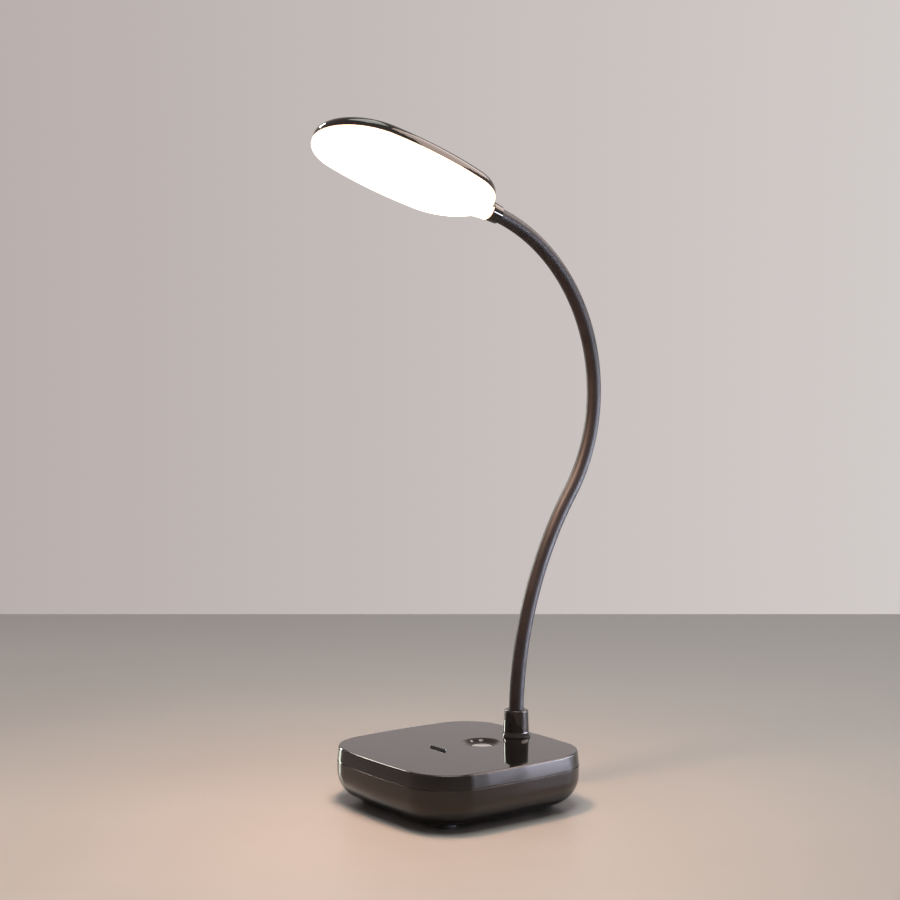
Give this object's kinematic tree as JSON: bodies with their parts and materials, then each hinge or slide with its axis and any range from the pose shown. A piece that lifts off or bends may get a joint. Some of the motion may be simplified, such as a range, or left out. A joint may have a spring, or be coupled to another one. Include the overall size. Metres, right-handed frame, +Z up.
{
  "type": "gooseneck desk lamp",
  "caption": "Desk lamp with a rounded square base, touch dimmer, bendable gooseneck and slim oblong light head.",
  "frame": {"origin": "centre of the base, on the table plane that the four feet stand on", "axes": "+Z up, -Y to the front where the head points, +X to the lamp's right-hand side seen from behind"},
  "size_m": [0.112, 0.1904, 0.3635],
  "materials": {
    "gloss_black_abs": "gloss injection-moulded ABS",
    "black_rubber": "moulded rubber",
    "black_silicone": "matte extruded silicone sleeve",
    "zinc_steel": "zinc-plated steel",
    "hose_steel": "interlocked spring-steel hose",
    "turned_brass": "turned brass",
    "conductive_foam": "closed-cell foam",
    "cell_foil": "foil pouch",
    "frosted_light_pipe": "frosted polycarbonate",
    "led_package": "phosphor-coated package",
    "green_board": "solder-masked glass-fibre board",
    "chip_black": "moulded chip bodies",
    "plated_contact": "polished plated brass contact",
    "plated_socket": "nickel-plated shell",
    "lead_jacket": "twin-core lead jacket",
    "opal_diffuser": "opal polycarbonate, lit from inside",
    "white_aluminium_board": "white solder mask on aluminium"
  },
  "bodies": {
    "base": {"base_top_cover": "gloss_black_abs", "base_tub": "gloss_black_abs", "touch_dish": "gloss_black_abs", "neck_collar": "gloss_black_abs", "touch_plate": "plated_contact", "rubber_feet": "black_rubber", "base_screws": "zinc_steel", "board_screws": "zinc_steel", "ballast_screws": "zinc_steel", "ballast_plate": "zinc_steel", "neck_stiffener_plate": "zinc_steel", "neck_washer": "zinc_steel", "neck_lock_nut": "turned_brass", "neck_threaded_nipple": "turned_brass", "touch_contact_pad": "conductive_foam", "battery_pad": "conductive_foam", "battery_cell": "cell_foil", "indicator_light_pipe": "frosted_light_pipe", "indicator_led": "led_package", "control_board": "green_board", "charging_board": "green_board", "board_components": "chip_black", "usb_charging_socket": "plated_socket", "lamp_lead_lower": "lead_jacket", "neck_sleeve_1": "black_silicone", "neck_hose_1": "hose_steel"},
    "neck_2": {"neck_sleeve_2": "black_silicone", "neck_hose_2": "hose_steel"},
    "neck_3": {"neck_sleeve_3": "black_silicone", "neck_hose_3": "hose_steel"},
    "neck_4": {"neck_sleeve_4": "black_silicone", "neck_hose_4": "hose_steel"},
    "neck_5": {"neck_sleeve_5": "black_silicone", "neck_hose_5": "hose_steel"},
    "neck_6": {"neck_sleeve_6": "black_silicone", "neck_hose_6": "hose_steel"},
    "neck_7": {"neck_sleeve_7": "black_silicone", "neck_hose_7": "hose_steel"},
    "neck_8": {"neck_sleeve_8": "black_silicone", "neck_hose_8": "hose_steel"},
    "neck_9": {"neck_sleeve_9": "black_silicone", "neck_hose_9": "hose_steel"},
    "neck_10": {"neck_sleeve_10": "black_silicone", "neck_hose_10": "hose_steel"},
    "neck_11": {"neck_sleeve_11": "black_silicone", "neck_hose_11": "hose_steel", "head_ferrule": "gloss_black_abs", "head_spindle": "turned_brass"},
    "head": {"head_housing": "gloss_black_abs", "diffuser": "opal_diffuser", "led_board": "white_aluminium_board", "led_chips": "led_package", "led_board_screws": "zinc_steel", "head_friction_ring": "black_rubber", "lamp_lead_upper": "lead_jacket"}
  },
  "joints": [
    {"name": "lower_bend", "type": "hinge", "parent": "base", "child": "neck_2", "pos_m": [0, 0.04235, 0.05898], "axis": [1, 0, 0], "range_deg": [-14, 12]},
    {"name": "side_bend", "type": "hinge", "parent": "neck_2", "child": "neck_3", "pos_m": [0, 0.04744, 0.09115], "axis": [0, 0.9734, -0.229], "range_deg": [-18, 18]},
    {"name": "lower_bend_2", "type": "hinge", "parent": "neck_3", "child": "neck_4", "pos_m": [0, 0.05723, 0.12223], "axis": [1, 0, 0], "range_deg": [-14, 12]},
    {"name": "lower_bend_3", "type": "hinge", "parent": "neck_4", "child": "neck_5", "pos_m": [0, 0.0715, 0.15151], "axis": [1, 0, 0], "range_deg": [-14, 12]},
    {"name": "side_bend_2", "type": "hinge", "parent": "neck_5", "child": "neck_6", "pos_m": [0, 0.08865, 0.17921], "axis": [0, 0.8938, -0.4484], "range_deg": [-18, 18]},
    {"name": "upper_bend", "type": "hinge", "parent": "neck_6", "child": "neck_7", "pos_m": [0, 0.09839, 0.21018], "axis": [1, 0, 0], "range_deg": [-28, 20]},
    {"name": "upper_bend_2", "type": "hinge", "parent": "neck_7", "child": "neck_8", "pos_m": [0, 0.09789, 0.24264], "axis": [1, 0, 0], "range_deg": [-28, 20]},
    {"name": "upper_bend_3", "type": "hinge", "parent": "neck_8", "child": "neck_9", "pos_m": [0, 0.08719, 0.2733], "axis": [1, 0, 0], "range_deg": [-28, 20]},
    {"name": "side_bend_3", "type": "hinge", "parent": "neck_9", "child": "neck_10", "pos_m": [0, 0.06739, 0.29902], "axis": [0, 0.685, 0.7285], "range_deg": [-18, 18]},
    {"name": "upper_bend_4", "type": "hinge", "parent": "neck_10", "child": "neck_11", "pos_m": [0, 0.0405, 0.31721], "axis": [1, 0, 0], "range_deg": [-28, 20]},
    {"name": "head_twist", "type": "hinge", "parent": "neck_11", "child": "head", "pos_m": [0, 0.02098, 0.32437], "axis": [0, -0.9494, 0.314], "range_deg": [-75, 45]}
  ],
  "couplings": [
    {"joint": "lower_bend_2", "follows": "lower_bend", "ratio": 1},
    {"joint": "lower_bend_3", "follows": "lower_bend", "ratio": 1},
    {"joint": "side_bend_2", "follows": "side_bend", "ratio": 1},
    {"joint": "upper_bend_2", "follows": "upper_bend", "ratio": 1},
    {"joint": "upper_bend_3", "follows": "upper_bend", "ratio": 1},
    {"joint": "side_bend_3", "follows": "side_bend", "ratio": 1},
    {"joint": "upper_bend_4", "follows": "upper_bend", "ratio": 1}
  ]
}
